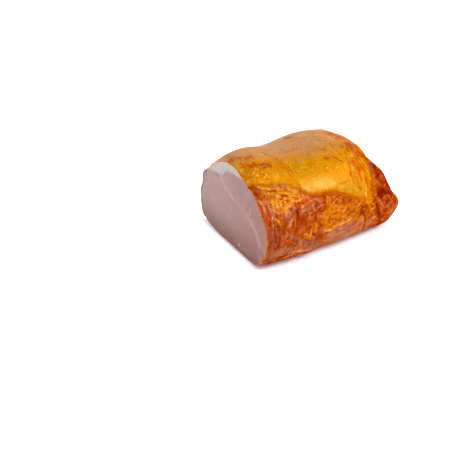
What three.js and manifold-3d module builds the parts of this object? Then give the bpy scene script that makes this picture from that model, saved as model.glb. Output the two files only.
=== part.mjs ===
// Boneless smoked loin ham, cut at one end, lying on its flat side.
// Millimetres, +Z up. The cut face looks towards -X and the tied tail towards +X;
// the side with the folded muscle seam looks towards -Y.
// Two solids: the lean meat, and the layer of fat that runs over its back.
import * as THREE from "three";
import { mergeVertices } from "three/addons/utils/BufferGeometryUtils.js";
import Module from "manifold-3d";

const wasm = await Module();
wasm.setup();

const { clamp, smoothstep, lerp, degToRad, radToDeg } = THREE.MathUtils;

// Driving sizes of the whole ham
const hamLength = 162;
const halfWidth = 57.5;
const leanHeight = 80;
const widestHeight = 32;

// Shape of the section: the exponents of its upper and lower half, how far the
// lower half runs on under the table, and how softly the table flattens it
const section = { topFullness: 2, footFullness: 2.6, footSink: 6, softness: 2.5 };

// The loft runs past the cut plane and is then trimmed flat; from tailStart on
// it rounds off. The shares say how many of its rings go into either cap.
const loft = { trim: 7, tailStart: 130, tailFullness: 2.7, nearCap: 0.04, farCap: 0.26 };

// Gap between the two solids
const fit = 0.3;

// Faces of the solids
const leanFaces = { around: 72, along: 56 };
const fatFaces = { across: 26, along: 36, crowding: 0.15 };

// A smooth value along the ham, through a few [place, value] keys
function track(...keys) {
  const curve = new THREE.CatmullRomCurve3(
    keys.map(([place, value]) => new THREE.Vector3(place, value, 0)),
    false,
    "catmullrom",
    0.5,
  );
  const spans = keys.length - 1;
  return (x) => {
    const passed = keys.filter(([place]) => place <= x).length - 1;
    const span = clamp(passed, 0, spans - 1);
    const [start, end] = [keys[span][0], keys[span + 1][0]];
    const local = clamp((x - start) / (end - start), 0, 1);
    return curve.getPoint((span + local) / spans).y;
  };
}

// How the section changes from the cut face to the tail
const crown = track(
  [0, leanHeight],
  [20, 81],
  [52, 79],
  [84, 83.8],
  [108, 82],
  [126, 73],
  [138, 64],
  [hamLength, 43],
);
const nearHalf = track([0, halfWidth], [60, 58], [98, 58], [120, 56], [142, 52], [hamLength, 46]);
const farHalf = track([0, halfWidth], [60, 58], [105, 56], [136, 49], [hamLength, 37]);
const middle = track([0, 0], [70, -1], [120, -3], [hamLength, -8]);
const widest = track([0, widestHeight], [90, 33], [130, 28], [hamLength, 22]);

// Lumps and hollows pressed into the meat: place along the ham, angle from the
// top (positive towards -Y), reach along and around, and height
const lumps = [
  { x: 64, angle: 68, along: 16, around: 13, height: 2.2 },
  { x: 50, angle: 88, along: 13, around: 15, height: -2.0 },
  { x: 92, angle: 96, along: 15, around: 16, height: 1.6 },
  { x: 24, angle: 60, along: 14, around: 16, height: 1.3 },
  { x: 44, angle: 124, along: 48, around: 15, height: 2.6 },
  { x: 0, angle: -36, along: 30, around: 18, height: -1.6 },
  { x: 30, angle: -70, along: 22, around: 20, height: 2.0 },
  { x: 88, angle: -88, along: 24, around: 20, height: -2.0 },
  { x: 122, angle: -62, along: 18, around: 22, height: 2.2 },
];

// Grooves that the string left across the near side, ahead of the tail
const stringGrooves = [
  { x: 113, width: 2.8, depth: 1.8 },
  { x: 131, width: 3.0, depth: 2.8 },
];
const grooveSide = { from: 60, full: 80, fading: 102, gone: 132 };

// The cleft where the two muscles meet low on the near side
const cleft = { angle: 117, width: 3.2, depth: 2.6, fading: 34, gone: 74 };

// Scallops that the net left on the far side
const net = { alongPitch: 21, aroundPitch: 15, height: 1.1, angle: -98, reach: 44 };

// The knob that the last tie pinched up on the near end, and the dimple by it
const pinches = [
  { at: new THREE.Vector3(156, -43, 20), reach: 9, push: new THREE.Vector3(4.5, -2.5, 0) },
  { at: new THREE.Vector3(152, -38, 38), reach: 8, push: new THREE.Vector3(-3.5, 1, -1) },
];

const bell = (distance) => Math.exp(-distance * distance);

function lumpRelief(x, degrees) {
  return lumps.reduce((sum, lump) => {
    const along = (x - lump.x) / lump.along;
    const around = (degrees - lump.angle) / lump.around;
    return sum + lump.height * bell(Math.hypot(along, around));
  }, 0);
}

function netRelief(x, degrees) {
  const strandsAlong = Math.abs(Math.cos((Math.PI * degrees) / net.aroundPitch));
  const strandsAround = Math.abs(Math.cos((Math.PI * x) / net.alongPitch));
  const puff = strandsAlong * (strandsAround + 0.6) - 0.8;
  return net.height * puff * bell((degrees - net.angle) / net.reach);
}

function grooveRelief(x, degrees) {
  const { from, full, fading, gone } = grooveSide;
  const side = smoothstep(degrees, from, full) * (1 - smoothstep(degrees, fading, gone));
  return stringGrooves.reduce(
    (sum, groove) => sum - groove.depth * side * bell((x - groove.x) / groove.width),
    0,
  );
}

function cleftRelief(x, degrees) {
  const fade = 1 - smoothstep(x, cleft.fading, cleft.gone);
  return -cleft.depth * fade * bell((degrees - cleft.angle) / cleft.width);
}

// Height of the meat's surface over the plain loft
function relief(x, degrees) {
  return (
    lumpRelief(x, degrees) +
    netRelief(x, degrees) +
    grooveRelief(x, degrees) +
    cleftRelief(x, degrees)
  );
}

function onTable(z) {
  const soft = section.softness;
  if (z > soft) return z;
  if (z < -soft) return 0;
  return (z + soft) ** 2 / (4 * soft);
}

function pinched(point) {
  const moved = point.clone();
  pinches.forEach(({ at, reach, push }) => {
    moved.addScaledVector(push, bell(point.distanceTo(at) / reach));
  });
  return moved;
}

const superellipse = (value, fullness) => Math.sign(value) * Math.abs(value) ** (2 / fullness);

// A point of the ham's skin: x along it, the angle from the top, the share of
// the full section, and the height over the meat
function skinPoint(x, angle, share = 1, over = 0) {
  const upper = Math.cos(angle) > 0;
  const half = angle > 0 ? nearHalf(x) : farHalf(x);
  const tall = upper ? crown(x) - widest(x) : widest(x) + section.footSink;
  const fullness = upper ? section.topFullness : section.footFullness;
  const y = -superellipse(Math.sin(angle), fullness) * half;
  const z = superellipse(Math.cos(angle), fullness) * tall;
  const outward = new THREE.Vector2(y / half ** 2, z / tall ** 2).normalize();
  const height = (relief(x, radToDeg(angle)) + over) * share;
  return pinched(
    new THREE.Vector3(
      x,
      middle(x) + y * share + outward.x * height,
      onTable(widest(x) + z * share + outward.y * height),
    ),
  );
}

// Ring of the loft for a share of the way from the near pole to the far one
function ringAt(way) {
  const { trim, tailStart, tailFullness, nearCap, farCap } = loft;
  if (way < nearCap) return { x: -trim, share: way / nearCap };
  if (way < 1 - farCap) {
    return { x: lerp(-trim, tailStart, (way - nearCap) / (1 - farCap - nearCap)), share: 1 };
  }
  const turn = (1 - (1 - way) / farCap) * (Math.PI / 2);
  return {
    x: tailStart + (hamLength - tailStart) * superellipse(Math.sin(turn), tailFullness),
    share: superellipse(Math.max(Math.cos(turn), 0), tailFullness),
  };
}

// Moves every vertex of a plain three.js shape to a new place
function reshape(geometry, placeOf) {
  const position = geometry.getAttribute("position");
  const vertex = new THREE.Vector3();
  for (let i = 0; i < position.count; i += 1) {
    vertex.fromBufferAttribute(position, i);
    const placed = placeOf(vertex);
    position.setXYZ(i, placed.x, placed.y, placed.z);
  }
  return geometry;
}

// The whole meat, as a sphere stretched along X from pole to pole
function meatShape() {
  const ball = new THREE.SphereGeometry(1, leanFaces.around, leanFaces.along);
  return reshape(ball, (v) => {
    const way = Math.acos(clamp(-v.y, -1, 1)) / Math.PI;
    const { x, share } = ringAt(way);
    return skinPoint(x, Math.atan2(v.x, v.z), share);
  });
}

// The layer of fat: its lip along the edges, its rise over the meat and how full
// that is, where its far end starts to round off, and how deep it is bedded
const fat = {
  lip: 0.9,
  rise: 5,
  fullness: 2.5,
  roundFrom: 0.92,
  endRise: 0.32,
  bedLip: 0.6,
  bedDepth: 5.5,
  bedDepthAtEnd: 3,
  bedMiddle: -0.35,
  bedReach: 0.5,
};

// Its two long edges, as angles from the top, and its far end
const fatNearEdge = track(
  [-10, 25],
  [2, 28],
  [31, 34],
  [43, 46],
  [54, 54],
  [76, 58],
  [94, 70],
  [116, 84],
  [150, 92],
);
const fatFarEdge = track([-10, 42], [0, 45], [40, 54], [80, 60], [120, 66], [150, 70]);
const fatEnd = track([-1, 122], [-0.4, 135], [0.1, 134], [0.45, 125], [0.75, 113], [1, 110]);

// Height of the fat's back over the meat, for a place across it from -1 (far
// edge) to 1 (near edge) and a share of the way to its far end
function fatBack(across, way) {
  const dome = 1 - Math.abs(across) ** fat.fullness;
  const turn = clamp((way - fat.roundFrom) / (1 - fat.roundFrom), 0, 1);
  const fall = Math.hypot(Math.sqrt(1 - turn ** 2), fat.endRise * turn);
  return fat.lip + fat.rise * dome * fall;
}

// Depth of the fat's bed under the meat's surface, for the same places
function fatBed(across, way) {
  const depth = lerp(fat.bedDepth, fat.bedDepthAtEnd, smoothstep(way, 0.6, 1));
  return fat.bedLip + depth * bell((across - fat.bedMiddle) / fat.bedReach);
}

// The layer as a flat slab bent over the meat. With room added on all sides and
// on its back, the same slab cuts the bed.
function fatShape(room, backRoom) {
  const slab = new THREE.BoxGeometry(2, 1, 1, fatFaces.across, fatFaces.along, 1);
  return reshape(slab, (v) => {
    const across = v.x;
    const row = v.y + 0.5;
    const way = row + fatFaces.crowding * Math.sin(Math.PI * row);
    const x = lerp(-loft.trim, fatEnd(across) + room, way);
    const edge = across > 0 ? fatNearEdge(x) : fatFarEdge(x);
    const angle = (degToRad(edge) + room / halfWidth) * across;
    const back = fatBack(across, way) + backRoom;
    const bed = fatBed(across, way) + room;
    return skinPoint(x, angle, 1, v.z > 0 ? back : -bed);
  });
}

function toSolid(geometry) {
  geometry.deleteAttribute("normal");
  geometry.deleteAttribute("uv");
  const merged = mergeVertices(geometry, 1e-3);
  return new wasm.Manifold(
    new wasm.Mesh({
      numProp: 3,
      vertProperties: merged.getAttribute("position").array,
      triVerts: new Uint32Array(merged.index.array),
    }),
  );
}

function toGeometry(solid) {
  const { vertProperties, triVerts } = solid.getMesh();
  const geometry = new THREE.BufferGeometry();
  geometry.setAttribute("position", new THREE.BufferAttribute(vertProperties, 3));
  geometry.setIndex(new THREE.BufferAttribute(triVerts, 1));
  geometry.computeVertexNormals();
  return geometry;
}

// What the knife took away, in front of x = 0
function knifeSide() {
  const room = 4 * halfWidth;
  const block = new THREE.BoxGeometry(room, room, room).translate(-room / 2, 0, 0);
  return toSolid(block);
}

function makeMesh(name, solid, colour, roughness) {
  const material = new THREE.MeshStandardMaterial({ color: colour, roughness, metalness: 0 });
  const mesh = new THREE.Mesh(toGeometry(solid), material);
  mesh.name = name;
  return mesh;
}

const roomOverFat = 14;
const bed = toSolid(fatShape(fit, roomOverFat));
const leanSolid = toSolid(meatShape()).subtract(bed).subtract(knifeSide());
const fatSolid = toSolid(fatShape(0, 0)).subtract(knifeSide());

const ham = new THREE.Group();
ham.add(makeMesh("lean", leanSolid, 0xb5532a, 0.45));
ham.add(makeMesh("fat_cap", fatSolid, 0xe09a2b, 0.35));

// The origin is on the table, under the middle of the ham
const box = new THREE.Box3().setFromObject(ham);
const centre = box.getCenter(new THREE.Vector3());
ham.children.forEach((mesh) => mesh.position.set(-centre.x, -centre.y, -box.min.z));

export default ham;
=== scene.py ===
# Smoked loin ham, cut flat at one end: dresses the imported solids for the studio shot.
# The frame is in metres. A place on the ham's skin is (mm along from the cut, degrees
# round from the top, positive on the near side), where one degree is about one mm.
# A place on the cut face is (mm across, mm up).
import math
from contextlib import contextmanager

import bmesh
import bpy
import numpy as np
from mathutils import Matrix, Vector, noise
from mathutils.bvhtree import BVHTree
from mathutils.kdtree import KDTree


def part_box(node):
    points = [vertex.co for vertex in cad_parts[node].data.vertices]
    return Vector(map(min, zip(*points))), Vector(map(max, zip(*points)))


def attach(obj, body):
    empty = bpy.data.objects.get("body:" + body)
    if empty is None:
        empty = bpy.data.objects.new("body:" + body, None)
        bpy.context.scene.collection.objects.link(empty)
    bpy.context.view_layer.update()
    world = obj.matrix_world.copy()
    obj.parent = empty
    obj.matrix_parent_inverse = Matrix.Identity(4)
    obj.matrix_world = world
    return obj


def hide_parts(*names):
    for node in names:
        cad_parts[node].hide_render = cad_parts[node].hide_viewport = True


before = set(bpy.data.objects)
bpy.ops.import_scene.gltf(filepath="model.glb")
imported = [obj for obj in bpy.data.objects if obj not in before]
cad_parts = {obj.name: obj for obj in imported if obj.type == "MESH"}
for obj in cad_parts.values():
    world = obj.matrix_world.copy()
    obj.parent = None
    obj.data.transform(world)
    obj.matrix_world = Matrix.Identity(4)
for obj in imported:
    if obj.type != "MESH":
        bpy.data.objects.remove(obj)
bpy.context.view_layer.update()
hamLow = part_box("lean")[0]
mm = 0.001
cutTolerance = 0.05  # mm

studio = {
    "cameraAt": (-378.9, -494.9, 384.5),  # mm
    "lookAt": (-69.5, 10.0, 0.0),
    "lens": 56.84,
    "sensor": 36,
    "surroundings": 0.5,
}

softboxes = {  # place and aim in mm, size in mm, power in watts
    "keySoftbox": {"at": (394, -468, 621), "aim": (0, 0, 45), "size": (320, 320), "power": 6.8},
    "leftSoftbox": {"at": (-900, 150, 700), "aim": (0, 0, 40), "size": (900, 700), "power": 3.6},
    "frontSoftbox": {"at": (-500, -900, 500), "aim": (0, 0, 40), "size": (600, 500), "power": 2.6},
    "backSoftbox": {"at": (250, 900, 520), "aim": (0, 0, 60), "size": (1500, 700), "power": 6.5},
}


def aimed(obj, at, aim):
    obj.location = Vector(at) * mm
    direction = (Vector(aim) - Vector(at)).normalized()
    obj.rotation_euler = direction.to_track_quat("-Z", "Y").to_euler()
    bpy.context.scene.collection.objects.link(obj)
    return obj


def makeStudio():
    scene = bpy.context.scene
    cameraData = bpy.data.cameras.new("camera")
    cameraData.lens = studio["lens"]
    cameraData.sensor_width = studio["sensor"]
    camera = bpy.data.objects.new("camera", cameraData)
    scene.camera = aimed(camera, studio["cameraAt"], studio["lookAt"])

    for name, box in softboxes.items():
        light = bpy.data.lights.new(name, "AREA")
        light.shape = "RECTANGLE"
        light.size, light.size_y = (side * mm for side in box["size"])
        light.energy = box["power"]
        aimed(bpy.data.objects.new(name, light), box["at"], box["aim"])

    world = bpy.data.worlds.new("surroundings")
    world.use_nodes = True
    background = world.node_tree.nodes["Background"]
    background.inputs["Strength"].default_value = studio["surroundings"]
    background.inputs["Color"].default_value = (1, 1, 1, 1)
    scene.world = world
    scene.view_settings.view_transform = "Standard"


makeStudio()
print("studio ready")


def arithmetic(operation, reflected=False):
    def apply(self, other):
        first, second = (other, self) if reflected else (self, other)
        return self.graph.node("ShaderNodeMath", {"operation": operation}, {0: first, 1: second})

    return apply


class Wire:  # a socket that can be used in arithmetic
    __add__, __radd__ = arithmetic("ADD"), arithmetic("ADD", reflected=True)
    __sub__, __rsub__ = arithmetic("SUBTRACT"), arithmetic("SUBTRACT", reflected=True)
    __mul__, __rmul__ = arithmetic("MULTIPLY"), arithmetic("MULTIPLY", reflected=True)
    most = arithmetic("MAXIMUM")

    def __init__(self, graph, socket):
        self.graph, self.socket = graph, socket

    def __abs__(self):
        return self.graph.node("ShaderNodeMath", {"operation": "ABSOLUTE"}, {0: self})

    def between(self, low, high):  # 0 at low, 1 at high, smooth
        return self.graph.node(
            "ShaderNodeMapRange",
            {"interpolation_type": "SMOOTHSTEP"},
            {"Value": self, "From Min": low, "From Max": high},
        )


class Graph:
    def __init__(self, name):
        self.material = bpy.data.materials.new(name)
        self.material.use_nodes = True
        self.tree = self.material.node_tree
        self.shader = self.tree.nodes["Principled BSDF"]
        self.place = self.node("ShaderNodeTexCoord", output="Object")
        self.known = {}

    def node(self, kind, settings=None, inputs=None, output=0):
        made = self.tree.nodes.new(kind)
        for key, value in (settings or {}).items():
            setattr(made, key, value)
        for key, value in (inputs or {}).items():
            self.feed(made.inputs[key], value)
        return Wire(self, made.outputs[output])

    def feed(self, socket, value):
        if isinstance(value, Wire):
            self.tree.links.new(value.socket, socket)
        elif isinstance(value, tuple) and len(value) == 3 and socket.type == "RGBA":
            socket.default_value = (*value, 1)
        else:
            socket.default_value = value

    def mark(self, name, output="Fac"):  # an attribute of the mesh
        if name not in self.known:
            settings = {"attribute_name": name}
            self.known[name] = self.node("ShaderNodeAttribute", settings, output=output)
        return self.known[name]

    def noise(self, size, detail=3.0, roughness=0.55, place=None, turn=0.0):
        sizes = size if isinstance(size, tuple) else (size, size, size)  # mm along each axis
        scales = tuple(1 / (s * mm) for s in sizes)
        mapped = self.node(
            "ShaderNodeMapping",
            {"vector_type": "TEXTURE" if turn else "POINT"},
            {
                "Vector": place or self.place,
                "Rotation": (0, 0, math.radians(turn)),
                "Scale": tuple(1 / s for s in scales) if turn else scales,
            },
        )
        return self.node(
            "ShaderNodeTexNoise",
            {"noise_dimensions": "3D"},
            {"Vector": mapped, "Scale": 1.0, "Detail": detail, "Roughness": roughness},
        )

    def vector(self, operation, inputs):
        return self.node("ShaderNodeVectorMath", {"operation": operation}, inputs)

    def warped(self, place, size, reach):  # the place pushed about by a noise, both in mm
        push = self.node(
            "ShaderNodeTexNoise",
            {"noise_dimensions": "3D"},
            {"Vector": place, "Scale": 1 / (size * mm), "Detail": 2.0},
            output="Color",
        )
        centred = self.vector("SUBTRACT", {0: push, 1: (0.5, 0.5, 0.5)})
        scaled = self.vector("SCALE", {0: centred, "Scale": reach * mm * 2})
        return self.vector("ADD", {0: place, 1: scaled})

    def mix(self, factor, first, second):
        return self.node(
            "ShaderNodeMix",
            {"data_type": "RGBA", "clamp_factor": True},
            {0: factor, 6: first, 7: second},
            output=2,
        )

    def layered(self, colour, layers):  # each layer is a factor and a colour
        for factor, above in layers:
            colour = self.mix(factor, colour, above)
        return colour

    def ramp(self, value, colours):  # evenly spaced colours from 0 to 1
        made = self.node("ShaderNodeValToRGB", {}, {"Fac": value}, output="Color")
        elements = made.socket.node.color_ramp.elements
        while len(elements) < len(colours):
            elements.new(0.5)
        for i, colour in enumerate(colours):
            elements[i].position = i / (len(colours) - 1)
            elements[i].color = (*colour, 1)
        return made

    def set(self, **values):
        for name, value in values.items():
            self.feed(self.shader.inputs[name.replace("_", " ")], value)

    def bump(self, height, distance, strength, under=None):  # distance in mm
        inputs = {"Height": height, "Distance": distance * mm, "Strength": strength}
        if under:
            inputs["Normal"] = under
        return self.node("ShaderNodeBump", {}, inputs)


def paint(red, green, blue, light=1.75):  # the albedo that looks like this colour under that much light
    return tuple(((v / 255 + 0.055) / 1.055) ** 2.4 / light for v in (red, green, blue))


def painted(colours):  # a table of single colours and of ramps
    return {
        name: [paint(*step) for step in value] if isinstance(value, list) else paint(*value)
        for name, value in colours.items()
    }


axisHeight = 32  # mm above the table, the middle of the degrees round
halfAcross, halfUp = 57.5, 50


def skinPlaces(points):  # (mm along, degrees round) of points in metres
    along = (points[:, 0] - hamLow.x) / mm
    across = -points[:, 1] / mm / halfAcross
    up = (points[:, 2] / mm - axisHeight) / halfUp
    return np.stack([along, np.degrees(np.arctan2(across, up))], axis=1)


def noiseField(points, size, seed, octaves=3):  # about -1 to 1, points in mm
    shift = Vector((seed * 13.7, seed * 7.1, seed * 3.3))
    return np.array([noise.fractal(Vector(p) + shift, 0.9, 2.1, octaves) for p in points / size])


def chartNoise(places, sizes, seed, slant=0):  # stretched along the chart's axes, or slanted from them
    along, around = places.T
    first = (along + slant * around) / sizes[0]
    second = (around - slant * along) / sizes[1]
    return noiseField(np.stack([first, second, 0 * along], axis=1), 1, seed, 2)


def smoothStep(values, absent, full):  # 0 where absent, 1 where full, in either order
    t = np.clip((values - absent) / (full - absent), 0, 1)
    return t * t * (3 - 2 * t)


def bell(values):
    return np.exp(-values * values)


def onLine(values, line):  # the height of a line of points over these values
    return np.interp(values, *zip(*line))


def lineDistance(places, line):
    best = np.full(len(places), 1e6)
    for start, end in zip(line[:-1], line[1:]):
        step = np.subtract(end, start).astype(float)
        share = np.clip((places - start) @ step / (step @ step), 0, 1)
        best = np.minimum(best, np.linalg.norm(places - start - share[:, None] * step, axis=1))
    return best


def strokes(places, lines, reach):  # 1 on the lines, falling straight to 0 at the reach
    nearest = np.full(len(places), 1e6)
    for line in lines:
        nearest = np.minimum(nearest, lineDistance(places, line))
    return np.clip(1 - nearest / reach, 0, 1)


def dabs(places, spots):  # soft round marks: place and the two reaches
    mask = np.zeros(len(places))
    for along, around, reachAlong, reachAround in spots:
        offset = (places - (along, around)) / (reachAlong, reachAround)
        mask = np.maximum(mask, bell(np.linalg.norm(offset, axis=1)))
    return mask


def insideOf(places, outline):  # mm inside a closed outline, negative outside
    inside = np.zeros(len(places), bool)
    closed = outline + outline[:1]
    for start, end in zip(closed[:-1], closed[1:]):
        rise = end[1] - start[1]
        if rise == 0:
            continue
        crossing = (start[1] > places[:, 1]) != (end[1] > places[:, 1])
        share = (places[:, 1] - start[1]) / rise
        inside ^= crossing & (places[:, 0] < start[0] + share * (end[0] - start[0]))
    return lineDistance(places, closed) * np.where(inside, 1, -1)


sharedEdge = [
    (-10, 20), (0, 25), (8, 30), (31, 35), (43, 46), (50, 54), (56, 56), (66, 57), (76, 59), (86, 65),
]

fatOutline = {  # where the golden fat ends on the skin
    "nearEdge": [*sharedEdge, (94, 70), (116, 80), (150, 88)],
    "farEdge": [(-10, -42), (0, -45), (40, -54), (80, -60), (120, -66), (150, -70)],
    "end": [(-66, 122), (-28, 133), (8, 130), (36, 121), (50, 113), (64, 111), (80, 108)],
}

goldOutline = {  # where its colour ends
    "nearEdge": [
        *sharedEdge, (94, 71), (99.4, 73.9), (104.3, 76), (108.8, 81.7), (112, 86.6), (116, 90), (150, 95),
    ],
    "farEdge": fatOutline["farEdge"],
    "end": [
        (-66, 122), (-28, 133), (8, 131), (36, 124), (50, 118), (56, 116), (68, 112.5), (77, 114), (86, 112),
    ],
}


def insideFat(places, outline=fatOutline):  # mm inside the fat's outline, negative outside
    along, around = places.T
    near = onLine(along, outline["nearEdge"]) - around
    far = around - onLine(along, outline["farEdge"])
    end = onLine(around, outline["end"]) - along
    return np.minimum(np.minimum(near, far), end)


zones = {  # products of steps, mm along or degrees round, from where it is absent to where it is full
    "nearCrumple": [("along", 46, 36), ("around", 10, 24)],
    "farSide": [("around", -14, -34)],
    "underside": [("around", 118, 130)],
    "tailEnd": [("along", 98, 106), ("around", 92, 84)],
    "lip": [("along", 40, 48), ("around", 20, 30), ("along", 100, 86)],
    "pastCrumple": [("along", 34, 46)],
    "shadedEdge": [("around", 20, 30), ("along", 114, 106)],
    "lowSide": [("around", 74, 88), ("along", 130, 120)],
    # where the painted sheen fades out on the far side
    "paintedSheenSide": [("around", -75, -40)],
    "knotty": [("along", 122, 130)],
    "hoopwise": [("along", 62, 44)],
    "rimFibre": [("along", 14, 8), ("around", 30, 44), ("around", 120, 112)],
    "mottled": [("along", 34, 12), ("around", -6, 10)],
    "behindRim": [("along", 0, 3)],
    "ontoCut": [("along", 5, 3)],
}


def zone(places, name):
    share = np.ones(len(places))
    for axis, absent, full in zones[name]:
        share *= smoothStep(places[:, 0 if axis == "along" else 1], absent, full)
    return share


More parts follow.
